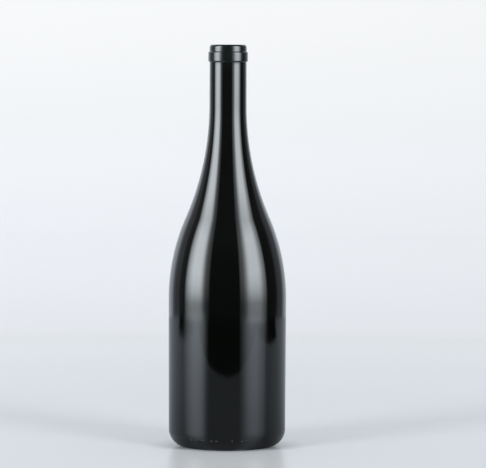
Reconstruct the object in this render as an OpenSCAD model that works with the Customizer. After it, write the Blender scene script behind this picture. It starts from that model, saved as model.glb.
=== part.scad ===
// Empty wine bottle with sloping shoulders, blown in one piece of dark glass.
// Millimetres, +Z up. The origin is the centre of the ring that the bottle stands on.

/* [Body] */
// Height over all, from the standing ring to the mouth
height = 300; // [260:1:360]
// Diameter of the body at the foot of the shoulder, its widest place
body_d = 87.8; // [74:0.1:106]
// Height at which the straight body ends and the shoulder begins
body_h = 110.5; // [90:0.5:140]
// How much narrower the body's diameter is where it meets the heel
body_taper = 0.7; // [0:0.1:2]
// Radius of the rounded heel between the body and the standing ring
heel_r = 12.8; // [8:0.1:17]

/* [Neck] */
// Diameter of the bore at the mouth, which a cork is made for
bore_d = 18.5; // [16:0.1:22]
// How much wider the bore is at the foot of the straight neck
bore_taper = 1.5; // [0:0.1:3]
// Thickness of the glass at the foot of the straight neck
neck_t = 3.8; // [2.6:0.05:5]
// How much narrower the neck's outer diameter is under the collar
neck_taper = 0.2; // [0:0.05:1]
// Length from the mouth down to the foot of the straight neck
neck_l = 45.2; // [32:0.1:70]
// Part of the sweep from body to neck that is hollow, the rest being the full shoulder
sweep_hollow = 0.58; // [0.3:0.01:0.8]

/* [Mouth] */
// How far the collar stands out from the neck
collar_out = 1; // [0.6:0.05:2]
// Height of the collar between the middles of its two steps
collar_h = 6.9; // [4:0.1:12]
// How far the lip ring steps in from the collar
lip_in = 0.95; // [0.5:0.05:1.5]
// Height of the lip ring above the middle of its step
lip_h = 5.6; // [3.5:0.1:8]
// Radius of the lip's outer edge
lip_round = 2; // [0.5:0.1:2.8]
// Radius of the bore's edge at the mouth
bore_round = 1; // [0.4:0.1:1.8]
// Height of each rounded step between the lip, the collar and the neck
step_h = 1.25; // [0.9:0.05:2]
// Part of each step's curve that is hollow
step_hollow = 0.25; // [0.15:0.05:0.7]

/* [Glass] */
// Thickness of the glass in the body's wall
wall = 4.4; // [2.5:0.1:6]
// Thickness of the glass over the standing ring
heel_t = 8; // [5:0.1:11]
// Thickness of the glass over the punt
punt_t = 7; // [4:0.1:10]

/* [Punt] */
// Height of the hollow under the base
punt_h = 34; // [24:0.5:42]
// Radius of the punt's domed tip
punt_tip_r = 12; // [8:0.5:15]
// Radius of the edge between the punt and the standing ring
punt_edge_r = 4; // [2:0.5:6]
// Width of the flat ring that the bottle stands on
ring_w = 2.5; // [1.5:0.1:4]

/* [Hidden] */
glass_colour = [0.05, 0.06, 0.055];
// Largest gap between a curve of the outline and the short lines that draw it
sag = 0.02;
// Sides of the drawn bottle, all the way round
round_sides = 128;

body_r = body_d / 2;
base_r = body_r - body_taper / 2;
cavity_r = body_r - wall;
cavity_base_r = base_r - wall;

bore_r = bore_d / 2;
bore_foot_r = bore_r + bore_taper / 2;
neck_foot_r = bore_foot_r + neck_t;
neck_top_r = neck_foot_r - neck_taper / 2;
neck_z = height - neck_l;

collar_r = neck_top_r + collar_out;
lip_r = collar_r - lip_in;
lip_z = height - lip_h;
collar_z = lip_z - collar_h;

ring_out_r = base_r - heel_r;
ring_in_r = ring_out_r - ring_w;

// The punt's flank is the straight line that touches its domed tip and its rounded edge.
punt_tip_z = punt_h - punt_tip_r;
flank_run = [ring_in_r, punt_edge_r - punt_tip_z];
flank_a = atan2(flank_run.y, flank_run.x) + acos((punt_tip_r + punt_edge_r) / norm(flank_run));

// The floor inside runs down over the punt into a round channel that touches the wall.
channel_fit = cavity_base_r * cos(flank_a) + (heel_t - punt_tip_z) * sin(flank_a);
channel_r = (channel_fit - punt_tip_r - punt_t) / (1 + cos(flank_a) - sin(flank_a));
channel_c = [cavity_base_r - channel_r, heel_t + channel_r];

function steps(r, turn) = max(2, ceil(abs(turn) / (2 * acos(1 - min(sag / r, 0.5)))));

function arc(c, r, from, to) =
    let (n = steps(r, to - from))
    [for (i = [0:n]) let (a = from + (to - from) * i / n) c + r * [cos(a), sin(a)]];

function reversed(points) = [for (i = [len(points) - 1:-1:0]) points[i]];

// Two arcs that touch each other: a full one that starts upright at the wide point,
// and a hollow one that ends upright at the narrow point.
function sweep(wide, narrow, hollow) =
    let (
        run = wide.x - narrow.x,
        rise = narrow.y - wide.y,
        radii = (run * run + rise * rise) / (2 * run),
        hollow_r = radii * hollow,
        full_r = radii - hollow_r,
        turn = sign(rise) * 2 * atan(run / abs(rise))
    )
    concat(
        arc([wide.x - full_r, wide.y], full_r, 0, turn),
        arc([narrow.x + hollow_r, narrow.y], hollow_r, 180 + turn, 180)
    );

function underside() = concat(
    arc([0, punt_tip_z], punt_tip_r, 90, flank_a),
    arc([ring_in_r, punt_edge_r], punt_edge_r, 180 + flank_a, 270),
    arc([ring_out_r, heel_r], heel_r, -90, 0)
);

function mouth_rings() = concat(
    reversed(sweep([collar_r, collar_z + step_h / 2], [neck_top_r, collar_z - step_h / 2], step_hollow)),
    sweep([collar_r, lip_z - step_h / 2], [lip_r, lip_z + step_h / 2], step_hollow),
    arc([lip_r - lip_round, height - lip_round], lip_round, 0, 90)
);

function outside() = concat(
    underside(),
    sweep([body_r, body_h], [neck_foot_r, neck_z], sweep_hollow),
    mouth_rings()
);

function inside() = concat(
    arc([bore_r + bore_round, height - bore_round], bore_round, 90, 180),
    reversed(sweep([cavity_r, body_h], [bore_foot_r, neck_z], sweep_hollow)),
    arc(channel_c, channel_r, 0, flank_a - 180),
    arc([0, punt_tip_z], punt_tip_r + punt_t, flank_a, 90)
);

module bottle() {
    color(glass_colour)
    rotate_extrude($fn = round_sides)
    polygon(concat(outside(), inside()));
}

bottle();
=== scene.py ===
# %% [markdown]
# # A wine bottle of dark glass, empty and without a label
#
# The bottle is one piece of glass: a straight body, a long sloping shoulder, a slim neck
# and a small two-step mouth. It is so dark that almost all you see of it is reflections,
# so this lesson spends its care on two things: a surface with no flat facets, and a
# studio that is worth reflecting. The steps are the outline, the spin, the marks that a
# glass mould leaves, the glass itself, the studio and the camera.

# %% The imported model
from math import ceil, acos, atan, atan2, cos, degrees, hypot, pi, radians, sin

import bmesh
import bpy
from mathutils import Matrix, Vector, noise


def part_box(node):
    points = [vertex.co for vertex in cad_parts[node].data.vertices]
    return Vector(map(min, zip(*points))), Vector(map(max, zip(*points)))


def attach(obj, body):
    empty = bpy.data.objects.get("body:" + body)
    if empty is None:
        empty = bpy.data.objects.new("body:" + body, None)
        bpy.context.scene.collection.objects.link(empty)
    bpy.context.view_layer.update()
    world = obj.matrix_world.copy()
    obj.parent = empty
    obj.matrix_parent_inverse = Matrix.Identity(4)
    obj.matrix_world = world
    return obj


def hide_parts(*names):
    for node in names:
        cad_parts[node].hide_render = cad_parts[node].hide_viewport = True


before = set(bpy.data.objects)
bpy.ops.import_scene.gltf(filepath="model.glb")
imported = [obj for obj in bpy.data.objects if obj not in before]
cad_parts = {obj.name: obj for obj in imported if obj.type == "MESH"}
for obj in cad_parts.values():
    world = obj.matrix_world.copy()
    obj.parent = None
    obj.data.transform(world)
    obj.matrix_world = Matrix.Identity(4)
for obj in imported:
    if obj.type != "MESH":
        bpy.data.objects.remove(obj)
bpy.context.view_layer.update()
print("CAD nodes:", sorted(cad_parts))

# %% [markdown]
# ## Sizes
#
# The CAD model is exact but it is drawn with short flat sides, which show in mirror-like
# glass. The bottle is made again here with far more of them, from the same sizes in
# millimetres. Its height and its widest place are read from the CAD model's own box, so
# the two can't drift apart.

# %% The bottle's sizes, in millimetres
MM = 0.001
low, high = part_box("bottle")
HEIGHT = round((high.z - low.z) / MM, 2)
BODY_R = round((high.x - low.x) / MM, 2) / 2
BODY_TOP = 110.5
BASE_R = BODY_R - 0.35
HEEL_R = 12.8
WALL = 4.4

NECK_FOOT = (13.8, HEIGHT - 45.2)
NECK_TOP_R = 13.7
COLLAR_R = NECK_TOP_R + 1.0
LIP_R = COLLAR_R - 0.95
LIP_FOOT = HEIGHT - 5.6
COLLAR_FOOT = LIP_FOOT - 6.9
STEP_H = 1.25
SWEEP_HOLLOW, STEP_HOLLOW = 0.58, 0.25
LIP_ROUND = 2.0
BORE_ROUND = 1.0
BORE_R = 9.25
BORE_FOOT_R = 10.0

RING_OUT = BASE_R - HEEL_R
RING_IN = RING_OUT - 2.5
PUNT_EDGE_R = 4.0
PUNT_TIP_R = 12.0
PUNT_TIP_Z = 34.0 - PUNT_TIP_R
PUNT_GLASS = 7.0
HEEL_GLASS = 8.0
print("height", HEIGHT, "body radius", BODY_R)

# %% [markdown]
# ## Drawing the outline
#
# A bottle is round, so half of its cross-section is enough, and that is made of arcs and
# straight lines that touch each other. Both are drawn with operators, with one vertex as
# the pen: Spin turns the pen about an arc's centre, and Extrude carries it along a line.
# The pen leaves its track of edges behind, and each new point copies the number that says
# which part of the bottle it belongs to. Turning is anticlockwise when x is the radius
# and z is up, and that is why the axis is minus y.

# %% A pen that draws arcs and lines
outline = bmesh.new()
part_layer = outline.verts.layers.int.new("part")
UNDERSIDE, OUTSIDE, MOUTH, INSIDE = 1, 2, 3, 4


def arc(pen, centre, turn, pitch, part):
    """Turns the pen about centre by turn degrees, with a point about every pitch."""
    pen[part_layer] = part
    middle = Vector((centre[0], 0, centre[1])) * MM
    radius = (pen.co - middle).length / MM
    steps = max(3, ceil(radius * abs(radians(turn)) / pitch))
    made = bmesh.ops.spin(outline, geom=[pen], cent=middle, axis=(0, -1, 0),
                          angle=radians(turn), steps=steps)
    return [v for v in made["geom_last"] if isinstance(v, bmesh.types.BMVert)][0]


def line(pen, r, z, pitch, part):
    """Carries the pen straight to (r, z), with a point about every pitch."""
    pen[part_layer] = part
    way = Vector((r, 0, z)) * MM - pen.co
    steps = max(1, ceil(way.length / MM / pitch))
    for _ in range(steps):
        pen = bmesh.ops.extrude_vert_indiv(outline, verts=[pen])["verts"][0]
        bmesh.ops.translate(outline, verts=[pen], vec=way / steps)
    return pen


def sweep(pen, r, z, hollow, pitch, part, full_first):
    """Two arcs that touch: one bulges out, the other is hollow. The pen starts and ends
    upright. hollow is the hollow arc's share of the two radii."""
    run = abs(pen.co.x / MM - r)
    rise = z - pen.co.z / MM
    radii = (run * run + rise * rise) / (2 * run)
    hollow_r, full_r = radii * hollow, radii * (1 - hollow)
    turn = degrees(2 * atan(run / abs(rise))) * (1 if rise > 0 else -1)
    r0, z0 = pen.co.x / MM, pen.co.z / MM
    if full_first:
        pen = arc(pen, (r0 - full_r, z0), turn, pitch, part)
        return arc(pen, (r + hollow_r, z), -turn, pitch, part)
    pen = arc(pen, (r0 + hollow_r, z0), -turn, pitch, part)
    return arc(pen, (r - full_r, z), turn, pitch, part)


# %% [markdown]
# ## Under the bottle: the punt and the standing ring
#
# The hollow under a bottle is called the punt. Here it is a cone with a domed tip, which
# meets the narrow flat ring that the bottle stands on. The cone's side is the straight
# line that touches both the dome and the rounded edge of the ring, and its slope follows
# from those two circles. Above the ring, the outline turns up through the round heel.
#
# The lower end of a bottle mould is a separate plate, and where it meets the two side
# halves it leaves a ridge, a few hundredths of a millimetre high, all round the heel.

# %% The underside and the heel
flank_r, flank_z = RING_IN, PUNT_EDGE_R - PUNT_TIP_Z
FLANK = degrees(atan2(flank_z, flank_r)
                + acos((PUNT_TIP_R + PUNT_EDGE_R) / hypot(flank_r, flank_z)))
RIDGE_AT, RIDGE_WIDE, RIDGE_HIGH = -56.0, 1.8, 0.07


def on_heel(angle, out=0.0):
    """The point of the heel's arc at an angle, or a little way out from it."""
    reach = HEEL_R + out
    return (RING_OUT + reach * cos(radians(angle)), HEEL_R + reach * sin(radians(angle)))


pen = outline.verts.new((0, 0, (PUNT_TIP_Z + PUNT_TIP_R) * MM))
pen = arc(pen, (0, PUNT_TIP_Z), FLANK - 90, 1.1, UNDERSIDE)
pen = line(pen, RING_IN - PUNT_EDGE_R * cos(radians(FLANK)),
           PUNT_EDGE_R - PUNT_EDGE_R * sin(radians(FLANK)), 3.0, UNDERSIDE)
pen = arc(pen, (RING_IN, PUNT_EDGE_R), 90 - FLANK, 0.5, UNDERSIDE)
for r in (RING_IN + 0.4, RING_OUT - 0.4, RING_OUT):
    pen = line(pen, r, 0, 9, UNDERSIDE)
pen = arc(pen, (RING_OUT, HEEL_R), RIDGE_AT - RIDGE_WIDE / 2 + 90, 0.7, UNDERSIDE)
for share, out in ((-0.25, 0.7), (0.0, 1.0), (0.25, 0.7), (0.5, 0.0)):
    pen = line(pen, *on_heel(RIDGE_AT + share * RIDGE_WIDE, out * RIDGE_HIGH), 9, UNDERSIDE)
pen = arc(pen, (RING_OUT, HEEL_R), -RIDGE_AT - RIDGE_WIDE / 2, 0.6, OUTSIDE)
print("punt's side slopes at", round(90 - FLANK, 1), "degrees from upright")

# %% [markdown]
# ## The body, the shoulder and the neck
#
# The body is nearly straight. The shoulder is one long S: a full arc that leaves the body
# upright and a longer hollow arc that arrives upright at the neck. The neck has a collar
# that once held a seal, and above it the slightly smaller lip. Both have soft edges,
# because fire-polishing melts every corner of a glass mouth a little.

# %% The outside, from the heel to the mouth
pen = line(pen, BODY_R, BODY_TOP, 2.6, OUTSIDE)
pen = sweep(pen, *NECK_FOOT, SWEEP_HOLLOW, 1.25, OUTSIDE, full_first=True)
pen = line(pen, NECK_TOP_R, COLLAR_FOOT - STEP_H / 2, 2.4, OUTSIDE)
pen = sweep(pen, COLLAR_R, COLLAR_FOOT + STEP_H / 2, STEP_HOLLOW, 0.16, MOUTH, full_first=False)
pen = line(pen, COLLAR_R, LIP_FOOT - STEP_H / 2, 1.2, MOUTH)
pen = sweep(pen, LIP_R, LIP_FOOT + STEP_H / 2, STEP_HOLLOW, 0.16, MOUTH, full_first=True)
pen = line(pen, LIP_R, HEIGHT - LIP_ROUND, 1.2, MOUTH)
pen = arc(pen, (LIP_R - LIP_ROUND, HEIGHT - LIP_ROUND), 90, 0.25, MOUTH)
pen = line(pen, BORE_R + BORE_ROUND, HEIGHT, 0.8, MOUTH)

# %% [markdown]
# ## The inside
#
# The inside is blown by air, with no mould to shape it, so it follows the outside in
# softer lines. It ends in a round channel about the punt. The channel's circle touches
# the wall and the slope over the punt, which fixes its radius.

# %% The inside, from the mouth to the middle of the floor
inner_r, inner_base_r = BODY_R - WALL, BASE_R - WALL
fit = inner_base_r * cos(radians(FLANK)) + (HEEL_GLASS - PUNT_TIP_Z) * sin(radians(FLANK))
CHANNEL_R = (fit - PUNT_TIP_R - PUNT_GLASS) / (1 + cos(radians(FLANK)) - sin(radians(FLANK)))
channel = (inner_base_r - CHANNEL_R, HEEL_GLASS + CHANNEL_R)
slope_reach = PUNT_TIP_R + PUNT_GLASS

pen = arc(pen, (BORE_R + BORE_ROUND, HEIGHT - BORE_ROUND), 90, 0.3, INSIDE)
pen = line(pen, BORE_FOOT_R, NECK_FOOT[1], 6, INSIDE)
pen = sweep(pen, inner_r, BODY_TOP, SWEEP_HOLLOW, 4.5, INSIDE, full_first=False)
pen = line(pen, inner_base_r, channel[1], 9, INSIDE)
pen = arc(pen, channel, FLANK - 180, 1.6, INSIDE)
pen = line(pen, slope_reach * cos(radians(FLANK)),
           PUNT_TIP_Z + slope_reach * sin(radians(FLANK)), 4, INSIDE)
pen = arc(pen, (0, PUNT_TIP_Z), 90 - FLANK, 2.0, INSIDE)
pen.co.x = 0
print("outline points:", len(outline.verts), " channel radius:", round(CHANNEL_R, 2))

# %% [markdown]
# ## Spinning it, one mould half at a time
#
# A bottle mould opens in two halves, and a fine seam runs up the glass where they met. So
# the outline isn't spun in one go: two narrow turns make the seams and two turns of
# nearly half a circle make the sides between them. Merging by distance then closes the
# last gap, and it joins the many points that a spin leaves on the axis.

# %% The spin
SEAM_TURN = 0.5
SEAM_STEPS, SIDE_STEPS = 2, 118

bm = outline
track = bm.verts[:] + bm.edges[:]
bmesh.ops.rotate(bm, verts=bm.verts[:], cent=(0, 0, 0),
                 matrix=Matrix.Rotation(radians(-SEAM_TURN / 2), 3, "Z"))
for turn, steps in ((SEAM_TURN, SEAM_STEPS), (180 - SEAM_TURN, SIDE_STEPS)) * 2:
    spun = bmesh.ops.spin(bm, geom=track, cent=(0, 0, 0), axis=(0, 0, 1),
                          angle=radians(turn), steps=steps)
    track = spun["geom_last"]
bmesh.ops.remove_doubles(bm, verts=bm.verts[:], dist=1e-6)
bmesh.ops.recalc_face_normals(bm, faces=bm.faces[:])
bm.normal_update()
print("faces:", len(bm.faces), " open edges:", sum(not e.is_manifold for e in bm.edges))

# %% [markdown]
# ## What the mould leaves behind
#
# The middle column of each seam is pushed out by less than a tenth of a millimetre. The
# standing ring is knurled, as almost every bottle's is: glass that rests on small lands
# cools more evenly and isn't weakened by scratches. Inset sinks a pit in every third face
# of the ring, and the lands between them stay at full height.

# %% The seams and the knurled ring
SEAM_HIGH = 0.05
part = bm.verts.layers.int["part"]
seam = [v for v in bm.verts if abs(v.co.y) < 1e-6 and v[part] in (OUTSIDE, MOUTH)
        and v.co.z < (HEIGHT - LIP_ROUND) * MM]
for vert in seam:
    vert.co += vert.normal * SEAM_HIGH * MM

PIT_DEEP, PIT_EDGE, RING_MARGIN = 0.3, 0.09, 0.3
pit_from, pit_to = (RING_IN + RING_MARGIN) * MM, (RING_OUT - RING_MARGIN) * MM
ring = [f for f in bm.faces if f.normal.z < -0.999 and f.calc_center_median().z < 1e-6
        and pit_from < hypot(*f.calc_center_median()[:2]) < pit_to]
ring.sort(key=lambda f: atan2(f.calc_center_median().y, f.calc_center_median().x))
pits = [f for f in ring[::3] if min(e.calc_length() for e in f.edges) > 3 * PIT_EDGE * MM]
bmesh.ops.inset_individual(bm, faces=pits, thickness=PIT_EDGE * MM, depth=-PIT_DEEP * MM,
                           use_even_offset=True)
print("seam points:", len(seam), " pits in the standing ring:", len(pits))

# %% [markdown]
# ## Hot glass is never quite true
#
# The glass is still soft when the mould opens, and it sags and chills unevenly. The
# surface ends up wavy by a few hundredths of a millimetre over a few centimetres. The eye
# can't see that in the shape, but a reflection magnifies it: the edges of the bright
# strips wander a little. Each outside point moves along its normal by a smooth noise. The
# waves are longer upwards than round, and they fade out near the foot and the collar.

# %% The faint waves of blown glass
WAVE_HIGH, WAVE_LONG, WAVE_STRETCH = 0.06, 34.0, 0.55
FOOT_FADE, COLLAR_FADE = (6, 30), (COLLAR_FOOT - 12, COLLAR_FOOT - 2)


def fade(value, start, end):
    """0 before start, 1 after end, and smooth in between."""
    t = min(max((value - start) / (end - start), 0), 1)
    return t * t * (3 - 2 * t)


bm.normal_update()
for vert in bm.verts:
    if vert[part] == OUTSIDE:
        x, y, z = vert.co / MM
        where = Vector((x, y, z * WAVE_STRETCH)) / WAVE_LONG
        hold = fade(z, *FOOT_FADE) * (1 - fade(z, *COLLAR_FADE))
        vert.co += vert.normal * noise.noise(where) * WAVE_HIGH * hold * MM

# %% [markdown]
# ## The marks on the heel
#
# Just above the standing ring a mould usually carries a row of raised dots and short
# bars, which machines read to tell one mould from another. These are a made-up row that
# says nothing, put once on each mould half. Each mark is a small ball, flattened and sunk
# to half its depth in the glass, and a bar is the same ball drawn out upwards. A mark's
# three sizes are how far it stands out, half its width and half its height.

# %% Raised dots and bars
MARKS_AT = -22.0
DOT, BAR = (0.55, 0.85, 1.0), (0.55, 0.7, 1.5)
ROW = ((-38.0, DOT), (-33.0, DOT), (-29.4, BAR), (-26.6, BAR), (-23.8, DOT), (-15.5, DOT),
       (-10.3, DOT), (5.1, BAR), (15.0, DOT), (19.6, BAR))
MOULD_HALVES = 2

heel_r, heel_z = on_heel(MARKS_AT)
tilt = Matrix.Rotation(radians(-MARKS_AT), 4, "Y")
for half in range(MOULD_HALVES):
    for angle, size in ROW:
        around = Matrix.Rotation(radians(angle - 90 + 360 / MOULD_HALVES * half), 4, "Z")
        place = Matrix.Translation(Vector((heel_r, 0, heel_z)) * MM)
        scale = Matrix.Diagonal(Vector((*size, 1)) * MM)
        scale[3][3] = 1
        bmesh.ops.create_icosphere(bm, subdivisions=2, radius=1.0,
                                   matrix=around @ place @ tilt @ scale)
print("heel marks:", MOULD_HALVES * len(ROW))

# %% The bottle becomes an object
for face in bm.faces:
    face.smooth = True
for face in pits:
    face.smooth = False
mesh = bpy.data.meshes.new("dark_glass_bottle")
bm.to_mesh(mesh)
bottle = bpy.data.objects.new("dark_glass_bottle", mesh)
bpy.context.scene.collection.objects.link(bottle)
print("triangles:", sum(len(p.vertices) - 2 for p in mesh.polygons))
bm.free()

# %% [markdown]
# ## Small helpers for materials
#
# Colours are written as the hex values that a paint program shows. Those are sRGB, and a
# shader works in linear light, so one function turns one into the other. The next adds a
# node: its settings are named, and its inputs are given as numbers or as the output
# sockets that feed them. The others start a material, do a sum, step and make a ramp.

# %% Colours and nodes


def linear(hex_value, alpha=1.0):
    parts = [int(hex_value[i:i + 2], 16) / 255 for i in (1, 3, 5)]
    return [c / 12.92 if c <= 0.04045 else ((c + 0.055) / 1.055) ** 2.4 for c in parts] + [alpha]


def add(tree, kind, inputs=None, **settings):
    node = tree.nodes.new(kind)
    for name, value in settings.items():
        setattr(node, name, value)
    for name, value in (inputs or {}).items():
        if isinstance(value, bpy.types.NodeSocket):
            tree.links.new(value, node.inputs[name])
        else:
            node.inputs[name].default_value = value
    return node


def new_tree(name):
    material = bpy.data.materials.new(name)
    material.use_nodes = True
    material.node_tree.nodes.clear()
    return material, material.node_tree


def maths(tree, operation, *values):
    return add(tree, "ShaderNodeMath", dict(enumerate(values)),
               operation=operation).outputs["Value"]


def straight_step(tree, value, start, end, low=0.0, high=1.0):
    return add(tree, "ShaderNodeMapRange", {"Value": value, "From Min": start, "From Max": end,
               "To Min": low, "To Max": high}).outputs["Result"]


def ramp(tree, factor, stops, interpolation="LINEAR"):
    """A colour ramp. Each stop is a place from 0 to 1 and a grey level or a hex colour."""
    made = add(tree, "ShaderNodeValToRGB", {"Fac": factor})
    made.color_ramp.interpolation = interpolation
    while len(made.color_ramp.elements) < len(stops):
        made.color_ramp.elements.new(1.0)
    for element, (place, value) in zip(made.color_ramp.elements, stops):
        element.position = place
        element.color = linear(value) if isinstance(value, str) else [value, value, value, 1]
    return made.outputs["Color"]


# %% [markdown]
# ## The glass
#
# Dark bottle glass is soda-lime glass with iron and manganese in it. A few millimetres
# swallow nearly all light, so an opaque near-black body under a clear glass gloss gives
# the eye the same thing, and it also survives export better than real transmission would.
# The neck's thinner glass is a shade lighter than the body's, and a trace of green shows
# where the glass is thinnest, at the mouth. The gloss is the bare surface of the glass:
# refractive index 1.52 and very little roughness. Handling leaves a faint haze in patches
# a few centimetres wide. The heel, which rubs on other bottles, is a touch duller than the
# rest, and so is the mouth, whose skin was melted again by the fire-polishing. The skin of
# the glass has a very fine ripple, drawn about twice as high as it is, so that it shows.

# %% Dark bottle glass
GLASS, GLASS_NECK, GLASS_THIN = "#030403", "#060706", "#0B1210"
LIGHTER = (HEIGHT - 110) * MM, (HEIGHT - 5) * MM
IOR = 1.52
POLISH, HAZE, RUBBED, FIRED = 0.035, 0.075, 0.08, 0.16
RUBBED_OVER = 12 * MM, 2 * MM
FIRED_OVER = (HEIGHT - 15) * MM, (HEIGHT - 11) * MM
HAZE_WIDE, HAZE_SPREAD = 45.0, (0.35, 0.75)
RIPPLE_WIDE, RIPPLE_HIGH = 9.0, 0.012

glass, tree = new_tree("dark_bottle_glass")
place = add(tree, "ShaderNodeTexCoord").outputs["Object"]
level = add(tree, "ShaderNodeSeparateXYZ", {"Vector": place}).outputs["Z"]

thin = straight_step(tree, level, *LIGHTER)
colour = ramp(tree, thin, ((0.0, GLASS), (0.5, GLASS_NECK), (0.85, GLASS_NECK), (0.97, GLASS_THIN)))
haze = add(tree, "ShaderNodeTexNoise", {"Vector": place, "Scale": 1 / (HAZE_WIDE * MM),
           "Detail": 4.0, "Roughness": 0.6}).outputs["Fac"]
dull = straight_step(tree, haze, *HAZE_SPREAD, POLISH, HAZE)
rubbed = straight_step(tree, level, *RUBBED_OVER, 0.0, RUBBED)
fired = straight_step(tree, level, *FIRED_OVER, 0.0, FIRED)
gloss = maths(tree, "ADD", dull, maths(tree, "ADD", rubbed, fired))

ripple = add(tree, "ShaderNodeTexNoise", {"Vector": place, "Scale": 1 / (RIPPLE_WIDE * MM),
             "Detail": 2.0, "Roughness": 0.4}).outputs["Fac"]
skin = add(tree, "ShaderNodeBump", {"Height": ripple, "Distance": RIPPLE_HIGH * MM})
body = add(tree, "ShaderNodeBsdfPrincipled", {"Base Color": colour, "Roughness": gloss,
           "IOR": IOR, "Normal": skin.outputs["Normal"]})
add(tree, "ShaderNodeOutputMaterial", {"Surface": body.outputs["BSDF"]})
bottle.data.materials.append(glass)
print("glass:", glass.name, "made of", len(tree.nodes), "nodes")

# %% [markdown]
# ## The studio's reflections
#
# A bottle is lit by what it reflects. Two tall softboxes stand left and right of the
# camera and give the two bright strips; the space between them stays black and gives the
# dark middle; a white wall behind gives the thin pale rims. Each is a curved card a good
# metre from the bottle. A card is drawn like the bottle: an upright edge of a few points,
# spun part of the way round. Angles are in degrees, 0 towards the camera and growing to
# the right, so that the white wall behind is at 180.
#
# A card is seen by shiny surfaces only, so it never stands in a camera's way and never
# changes the floor's shadows. How strongly it glows is a list of angles, each with its
# level, and a colour ramp runs smoothly from one to the next.

# %% Curved cards that only reflections see
STAND_OFF = 1.1
SOFTBOX_WHITE, WALL_WHITE, TABLE_WHITE = "#F1F9FE", "#EDF5FF", "#E9F3FF"


def only_in_reflections(obj):
    obj.visible_camera = obj.visible_diffuse = obj.visible_shadow = False
    obj.visible_transmission = obj.visible_volume_scatter = False


def studio_object(name, bm, material):
    mesh = bpy.data.meshes.new(name)
    bm.to_mesh(mesh)
    bm.free()
    obj = bpy.data.objects.new(name, mesh)
    bpy.context.scene.collection.objects.link(obj)
    mesh.materials.append(material)
    return obj


def curved_card(name, start, end, top, material):
    card = bmesh.new()
    verts = [card.verts.new((0, -STAND_OFF, z)) for z in (0.0, top)]
    edge = card.edges.new(verts)
    bmesh.ops.rotate(card, verts=verts, cent=(0, 0, 0),
                     matrix=Matrix.Rotation(radians(start), 3, "Z"))
    bmesh.ops.spin(card, geom=verts + [edge], cent=(0, 0, 0), axis=(0, 0, 1),
                   angle=radians(end - start), steps=48)
    obj = studio_object(name, card, material)
    only_in_reflections(obj)
    return obj


def position_on_set(tree):
    """Where a point of the set is: its place, its angle about the bottle, its height."""
    place = add(tree, "ShaderNodeTexCoord").outputs["Object"]
    split = add(tree, "ShaderNodeSeparateXYZ", {"Vector": place})
    towards_camera = maths(tree, "MULTIPLY", split.outputs["Y"], -1.0)
    turn = maths(tree, "ARCTAN2", split.outputs["X"], towards_camera)
    return place, maths(tree, "DEGREES", turn), split.outputs


def smooth_step(tree, value, start, end, low=0.0, high=1.0):
    return add(tree, "ShaderNodeMapRange", {"Value": value, "From Min": start, "From Max": end,
               "To Min": low, "To Max": high}, interpolation_type="SMOOTHSTEP").outputs["Result"]


def times(tree, *values):
    product = values[0]
    for value in values[1:]:
        product = maths(tree, "MULTIPLY", product, value)
    return product


def level_at(tree, angle, by_angle):
    """The level at an angle, from a list that runs from the first angle to the last."""
    first, last = by_angle[0][0], by_angle[-1][0]
    share = straight_step(tree, angle, first, last)
    return ramp(tree, share, [((a - first) / (last - first), level) for a, level in by_angle])


def glow(tree, strength, colour, see_through=False):
    light = add(tree, "ShaderNodeEmission", {"Color": linear(colour), "Strength": strength})
    surface = light.outputs["Emission"]
    if see_through:
        clear = add(tree, "ShaderNodeBsdfTransparent")
        surface = add(tree, "ShaderNodeAddShader", {0: surface, 1: clear.outputs["BSDF"]}).outputs[0]
    add(tree, "ShaderNodeOutputMaterial", {"Surface": surface})


# %% [markdown]
# ## Two softboxes
#
# Both are some sixty degrees wide, and half of that is edges that fade, as with a softbox
# that is turned a little away. They are brightest a third of the way up. They are meant
# for the glass alone: light linking keeps them out of the floor's satin sheen, which they
# would burn white when the camera looks towards them. They add light without hiding what
# is behind.

# %% The left and the right softbox
CARD_TOP = 1.5
only_glass = bpy.data.collections.new("lit_by_softboxes")
only_glass.objects.link(bottle)


def softbox(name, by_angle, strength, by_height):
    material, tree = new_tree(name + "_glow")
    _, angle, split = position_on_set(tree)
    fading = ramp(tree, times(tree, split["Z"], 1 / CARD_TOP), by_height)
    shown = times(tree, level_at(tree, angle, by_angle), fading, strength)
    glow(tree, shown, SOFTBOX_WHITE, see_through=True)
    card = curved_card(name, by_angle[0][0], by_angle[-1][0], CARD_TOP, material)
    card.light_linking.receiver_collection = only_glass
    return card


LEFT_BY_ANGLE = ((-92, 0.0), (-86, 0.36), (-79, 0.70), (-72, 0.97), (-57, 1.0), (-53, 0.85),
                 (-46, 0.22), (-42, 0.10), (-37, 0.06), (-34, 0.0))
RIGHT_BY_ANGLE = ((23, 0.0), (26, 0.09), (32, 0.14), (37, 0.38), (42, 0.80), (47, 1.0),
                  (62, 0.97), (67, 0.84), (75, 0.33), (79, 0.24), (84, 0.0))
LEFT_BY_HEIGHT = ((0.0, 0.22), (0.02, 0.37), (0.08, 0.68), (0.14, 0.88), (0.22, 1.0),
                  (0.5, 0.98), (0.8, 0.62), (1.0, 0.52))
RIGHT_BY_HEIGHT = ((0.0, 0.22), (0.02, 0.30), (0.08, 0.58), (0.14, 0.80), (0.22, 0.97),
                   (0.5, 1.0), (0.8, 0.58), (1.0, 0.46))
softbox("softbox_left", LEFT_BY_ANGLE, 11.3, LEFT_BY_HEIGHT)
softbox("softbox_right", RIGHT_BY_ANGLE, 10.6, RIGHT_BY_HEIGHT)

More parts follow.
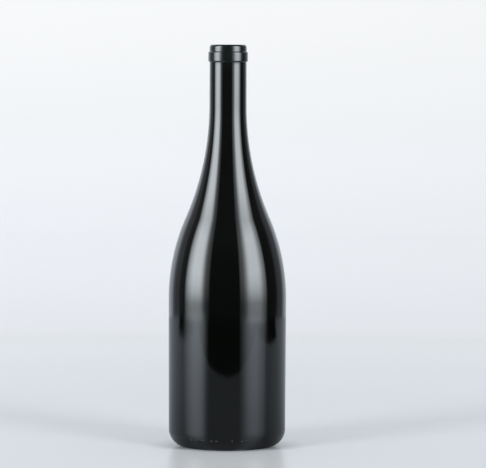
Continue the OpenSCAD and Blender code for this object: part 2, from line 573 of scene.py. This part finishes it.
# %% [markdown]
# ## The rest of the ring
#
# Behind the softboxes stands one closed ring: white behind the bottle, black towards the
# camera and black again in the narrow gaps behind the softboxes, where black cards give
# the glass its dark outline. It dims towards the floor and towards the dark lid that
# shuts its top. From half a metre up, a little haze in the air lightens the black that the
# neck reflects. The ring is drawn as an upright edge and a flat one, spun right round.

# %% White wall and black cards
RING_BY_ANGLE = ((-180, 1.0), (-152, 1.15), (-143, 1.3), (-136, 1.3), (-129, 0.6), (-120, 0.38),
                 (-110, 0.46), (-106, 0.20), (-92, 0.15), (-84, 0.8), (-60, 0.9), (-50, 0.6),
                 (-44, 0.15), (-36, 0.05), (0, 0.045), (24, 0.05), (36, 0.35), (50, 0.9),
                 (74, 0.8), (84, 0.07), (108, 0.08), (115, 0.33), (122, 0.38), (132, 0.34),
                 (141, 0.98), (148, 1.1), (180, 1.0))
# Each of these is two heights and the levels there.
NEAR_FLOOR, NEAR_LID = (0.0, 0.35, 0.80, 1.0), (1.2, CARD_TOP, 1.0, 0.05)
HAZE_IN_AIR = (0.5, 0.9, 0.0, 0.04)

surround, tree = new_tree("white_wall_and_black_cards")
_, angle, split = position_on_set(tree)
upper = smooth_step(tree, split["Z"], *NEAR_LID)
wall = times(tree, level_at(tree, angle, RING_BY_ANGLE),
             smooth_step(tree, split["Z"], *NEAR_FLOOR), upper)
air = times(tree, smooth_step(tree, split["Z"], *HAZE_IN_AIR), upper)
glow(tree, maths(tree, "ADD", wall, air), WALL_WHITE)

RING_R = STAND_OFF + 0.05
ring_bm = bmesh.new()
wall_points = [ring_bm.verts.new((0, -r, z)) for r, z in
               ((RING_R, -0.2), (RING_R, CARD_TOP), (0, CARD_TOP))]
wall_edges = [ring_bm.edges.new(pair) for pair in zip(wall_points, wall_points[1:])]
bmesh.ops.spin(ring_bm, geom=wall_points + wall_edges, cent=(0, 0, 0), axis=(0, 0, 1),
               angle=2 * pi, steps=96, use_merge=True)
bmesh.ops.remove_doubles(ring_bm, verts=ring_bm.verts[:], dist=1e-5)
ring_wall = studio_object("studio_ring", ring_bm, surround)
only_in_reflections(ring_wall)

# %% [markdown]
# ## What the glass sees of the table
#
# The lower half of the bottle reflects the table top. It is a satin sheet whose front
# edge is half a metre in front of the bottle, and that edge is why the black middle ends
# in a round U near the foot. Behind the bottle it goes on to both sides. Only reflections
# see this sheet.
#
# The sheet's glow is painted light. It carries painted reflections of the two softboxes,
# so their strips go on below the shoulder, dimmer. Close to the foot the round heel looks
# steeply down, and what it sees there has swung away from the middle, so the painted strips
# are turned with it: the swing grows as the distance from the bottle falls. Under the heel
# and behind it the bottle's shade is painted into the sheet, and in front it is left unshaded.

# %% The table top in the reflections
TABLE_FRONT, TABLE_LEFT, TABLE_RIGHT = -0.54, -0.93, 0.84
FRONT_SOFT, SIDE_SOFT = 0.01, 0.03
TABLE_LEVEL, BEYOND_TABLE = 0.30, 0.012
SIDES_OF_TABLE = ((-180, 0.9), (-138, 1.15), (-105, 1.2), (-80, 1.0), (-45, 0.75), (-37, 0.35),
                  (-30, 0.0), (60, 0.0), (88, 0.55), (114, 0.65), (156, 1.0), (180, 0.9))
SIDES_BY_DISTANCE = ((0.08, 0.15), (0.25, 0.23), (0.4, 0.3), (0.8, 0.38))
# Each of these is two distances and the levels there.
BEHIND_BOTTLE = (0.25, 0.40, 0.0, 1.0)
# Painted shade of the bottle beside and under the foot.
PAINTED_SHADE_BESIDE, PAINTED_SHADE_UNDER = (0.036, 0.058, 0.38, 1.0), (0.030, 0.043, 0.05, 1.0)
OPEN_IN_FRONT = (-0.036, -0.016, 1.0, 0.0)

sheet, tree = new_tree("table_in_reflections")
place, angle, split = position_on_set(tree)
distance = add(tree, "ShaderNodeVectorMath", {0: place}, operation="LENGTH").outputs["Value"]
far = times(tree, distance, 1 / STAND_OFF)

between = times(tree,
                smooth_step(tree, split["X"], TABLE_LEFT - SIDE_SOFT, TABLE_LEFT + SIDE_SOFT),
                smooth_step(tree, split["X"], TABLE_RIGHT + SIDE_SOFT, TABLE_RIGHT - SIDE_SOFT))
wide = maths(tree, "MAXIMUM", between, smooth_step(tree, split["Y"], *BEHIND_BOTTLE))
on_table = times(tree, wide, smooth_step(tree, split["Y"], TABLE_FRONT - FRONT_SOFT,
                                         TABLE_FRONT + FRONT_SOFT))
# Painted light of the table top, brighter towards the sides and further out.
painted_side_light = times(tree, level_at(tree, angle, SIDES_OF_TABLE), ramp(tree, far, SIDES_BY_DISTANCE))
lit = maths(tree, "ADD", painted_side_light, TABLE_LEVEL)
# Painted shade: darker under and beside the foot and behind it, unshaded in front.
beside = maths(tree, "MAXIMUM", smooth_step(tree, distance, *PAINTED_SHADE_BESIDE),
               smooth_step(tree, split["Y"], *OPEN_IN_FRONT))
total = times(tree, lit, on_table, beside, smooth_step(tree, distance, *PAINTED_SHADE_UNDER))

# %% The softboxes' painted reflections on the table
LEFT_ON_TABLE = ((-98, 0.0), (-92, 0.14), (-82, 0.55), (-74, 0.84), (-67, 1.0), (-57, 0.98),
                 (-50, 0.72), (-45, 0.36), (-41, 0.12), (-37, 0.0))
LEFT_BY_DISTANCE = ((0.04, 0.05), (0.06, 0.9), (0.09, 1.2), (0.15, 1.5), (0.35, 1.8),
                    (0.65, 2.3), (0.93, 2.9))
RIGHT_ON_TABLE = ((23, 0.0), (28, 0.13), (33, 0.34), (38, 0.58), (43, 0.82), (48, 0.96),
                  (54, 1.0), (61, 0.97), (69, 0.68), (76, 0.44), (84, 0.06), (90, 0.0))
RIGHT_BY_DISTANCE = ((0.036, 0.12), (0.045, 0.5), (0.065, 0.85), (0.095, 1.0), (0.15, 1.35),
                     (0.27, 1.55), (0.4, 1.9), (0.65, 2.2), (0.93, 2.6))
SWING, SWINGS_WITHOUT_END_AT = 0.022, 0.023

# The strips below are painted reflections of the softboxes, swung near the foot.
gap = maths(tree, "SUBTRACT", distance, SWINGS_WITHOUT_END_AT)
swung = maths(tree, "MULTIPLY_ADD", angle, maths(tree, "DIVIDE", SWING, gap), angle)
strips = [times(tree, level_at(tree, swung, across), ramp(tree, far, by_distance))
          for across, by_distance in ((LEFT_ON_TABLE, LEFT_BY_DISTANCE),
                                      (RIGHT_ON_TABLE, RIGHT_BY_DISTANCE))]
for more in (*strips, BEYOND_TABLE):
    total = maths(tree, "ADD", total, more)
glow(tree, total, TABLE_WHITE)

table_bm = bmesh.new()
bmesh.ops.create_circle(table_bm, cap_ends=True, segments=96, radius=RING_R)
bmesh.ops.translate(table_bm, verts=table_bm.verts[:], vec=(0, 0, -0.0005))
table = studio_object("table_in_reflections", table_bm, sheet)
only_in_reflections(table)

# %% [markdown]
# ## The floor and the backdrop that the camera sees
#
# One smooth bowl: a pale satin floor that curves up into a wall all the way round, so
# every view has the same plain background with no corner in it. Most of its brightness is
# its own glow, painted light that stands for light from all sides; the glow is graded,
# darker near the bottle and nearly white far away, and two wide suns add the pair of soft
# shadows.
#
# A place on the paper is its height and a quarter of its distance, taken together, so the
# painted shades run on from the floor up the wall. Two more things are painted into the glow:
# a painted shade close beside the foot and behind it, where the bottle keeps light off the
# paper, and a painted falloff of light from the left to the right.

# %% The bowl
FLOOR_R, CURVE_R, WALL_TOP = 2.6, 1.0, 2.6
PAPER, PAPER_ROUGH, PAPER_IOR = "#9B9C9D", 0.3, 1.45
DISTANCE_SHARE, LAST_PLACE = 0.25, 1.3
# The glow by place is painted light, graded from near the foot out and up the wall.
GLOW_BY_PLACE = ((0.0, "#6A7074"), (0.07, "#6B7174"), (0.12, "#787E81"), (0.19, "#93989E"),
                 (0.27, "#989CA3"), (0.37, "#9CA0A6"), (0.49, "#9DA1A7"), (0.58, "#90949A"),
                 (0.74, "#888A8C"), (0.94, "#8C8D8A"))
# Each of these is two distances and the levels there.
PAINTED_FOOT_SHADE, LIT_IN_FRONT = (0.036, 0.062, 0.3, 1.0), (-0.03, -0.01, 1.0, 0.0)
PAINTED_FALLOFF_LEFT_TO_RIGHT, SHEEN = (-0.4, 0.4, 1.05, 0.95), (0.9, 0.25, 0.0, 0.18)

paper, tree = new_tree("paper_with_painted_glow")
place, _, split = position_on_set(tree)
flat_place = add(tree, "ShaderNodeVectorMath", {0: place, 1: (1, 1, 0)}, operation="MULTIPLY")
away = add(tree, "ShaderNodeVectorMath", {0: flat_place.outputs["Vector"]},
           operation="LENGTH").outputs["Value"]
along = maths(tree, "ADD", times(tree, away, DISTANCE_SHARE), split["Z"])
own_glow = ramp(tree, times(tree, along, 1 / LAST_PLACE), GLOW_BY_PLACE)
# Painted shade beside and behind the foot, and a painted falloff of light from left to right.
painted_contact_shade = maths(tree, "MAXIMUM", smooth_step(tree, away, *PAINTED_FOOT_SHADE),
                smooth_step(tree, split["Y"], *LIT_IN_FRONT))
strength = times(tree, painted_contact_shade, straight_step(tree, split["X"], *PAINTED_FALLOFF_LEFT_TO_RIGHT))
surface = add(tree, "ShaderNodeBsdfPrincipled", {
    "Base Color": linear(PAPER), "Roughness": PAPER_ROUGH, "IOR": PAPER_IOR,
    "Specular IOR Level": smooth_step(tree, away, *SHEEN),
    "Emission Color": own_glow, "Emission Strength": strength})
add(tree, "ShaderNodeOutputMaterial", {"Surface": surface.outputs["BSDF"]})

bowl_bm = bmesh.new()
pen = bowl_bm.verts.new((0, 0, 0))
rim = bmesh.ops.extrude_vert_indiv(bowl_bm, verts=[pen])["verts"]
bmesh.ops.translate(bowl_bm, verts=rim, vec=(FLOOR_R, 0, 0))
bent = bmesh.ops.spin(bowl_bm, geom=rim, cent=(FLOOR_R, 0, CURVE_R), axis=(0, -1, 0),
                      angle=pi / 2, steps=32)["geom_last"]
edge_top = bmesh.ops.extrude_vert_indiv(
    bowl_bm, verts=[v for v in bent if isinstance(v, bmesh.types.BMVert)])["verts"]
bmesh.ops.translate(bowl_bm, verts=edge_top, vec=(0, 0, WALL_TOP - CURVE_R))
bmesh.ops.spin(bowl_bm, geom=bowl_bm.verts[:] + bowl_bm.edges[:], cent=(0, 0, 0), axis=(0, 0, 1),
               angle=2 * pi, steps=128, use_merge=True)
bmesh.ops.remove_doubles(bowl_bm, verts=bowl_bm.verts[:], dist=1e-5)
bmesh.ops.recalc_face_normals(bowl_bm, faces=bowl_bm.faces[:])
bmesh.ops.reverse_faces(bowl_bm, faces=bowl_bm.faces[:])
for face in bowl_bm.faces:
    face.smooth = True
bowl = studio_object("studio_bowl", bowl_bm, paper)
bowl.visible_glossy = bowl.visible_shadow = False

# %% [markdown]
# ## Two soft suns
#
# Each sun stands for one softbox as the floor sees it: the same direction, and an angle
# as wide as the box, which makes the shadows soft. Shiny surfaces don't see them.

# %% Soft suns
SUN_WIDE, SUN_UP, SUN_STRENGTH, SUN_WHITE = 22.0, 24.0, 2.6, "#FDFDFF"


def soft_sun(name, angle):
    light = bpy.data.lights.new(name, "SUN")
    light.energy = SUN_STRENGTH
    light.angle = radians(SUN_WIDE)
    light.color = linear(SUN_WHITE)[:3]
    sun = bpy.data.objects.new(name, light)
    bpy.context.scene.collection.objects.link(sun)
    way = Vector((sin(radians(angle)) * cos(radians(SUN_UP)),
                  -cos(radians(angle)) * cos(radians(SUN_UP)), sin(radians(SUN_UP))))
    sun.rotation_euler = way.to_track_quat("Z", "Y").to_euler()
    sun.visible_glossy = False


soft_sun("sun_left", -46.0)
soft_sun("sun_right", 42.0)

# %% [markdown]
# ## The air of the studio
#
# An even, nearly white world fills the shadows. The plain view transform shows the hex
# values as they are written.

# %% The world
AIR_WHITE, AIR_STRENGTH = "#F6F6F7", 0.9
world = bpy.data.worlds.new("studio_air")
world.use_nodes = True
air_light = world.node_tree.nodes["Background"].inputs
air_light["Color"].default_value = linear(AIR_WHITE)
air_light["Strength"].default_value = AIR_STRENGTH
bpy.context.scene.world = world
bpy.context.scene.view_settings.view_transform = "Standard"

# %% [markdown]
# ## The camera
#
# A long lens from 2.4 metres, at the height of the bottle's mouth and looking a little
# down. The sides of the bottle stay nearly parallel, and the eye sees just a hint of the
# round foot.

# %% The camera
CAMERA_AT = Vector((0.0, -2.4, 0.3))
LENS, SENSOR = 238.6, 36.0
PAN, DOWN, ROLL = 0.2744, 3.3652, 0.1959

ahead = Vector((sin(radians(PAN)) * cos(radians(DOWN)), cos(radians(PAN)) * cos(radians(DOWN)),
                -sin(radians(DOWN))))
right = Vector((cos(radians(PAN)), -sin(radians(PAN)), 0))
up = right.cross(ahead)
across = right * cos(radians(ROLL)) + up * sin(radians(ROLL))
upright = up * cos(radians(ROLL)) - right * sin(radians(ROLL))

lens = bpy.data.cameras.new("camera")
lens.lens, lens.sensor_width = LENS, SENSOR
camera = bpy.data.objects.new("camera", lens)
bpy.context.scene.collection.objects.link(camera)
turn = Matrix((across, upright, -ahead)).transposed().to_4x4()
camera.matrix_world = Matrix.Translation(CAMERA_AT) @ turn
bpy.context.scene.camera = camera
print("camera", round(CAMERA_AT.length, 2), "m from the foot, with a lens of", LENS, "mm")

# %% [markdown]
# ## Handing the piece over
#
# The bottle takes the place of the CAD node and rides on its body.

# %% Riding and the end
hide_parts("bottle")
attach(bottle, "root")
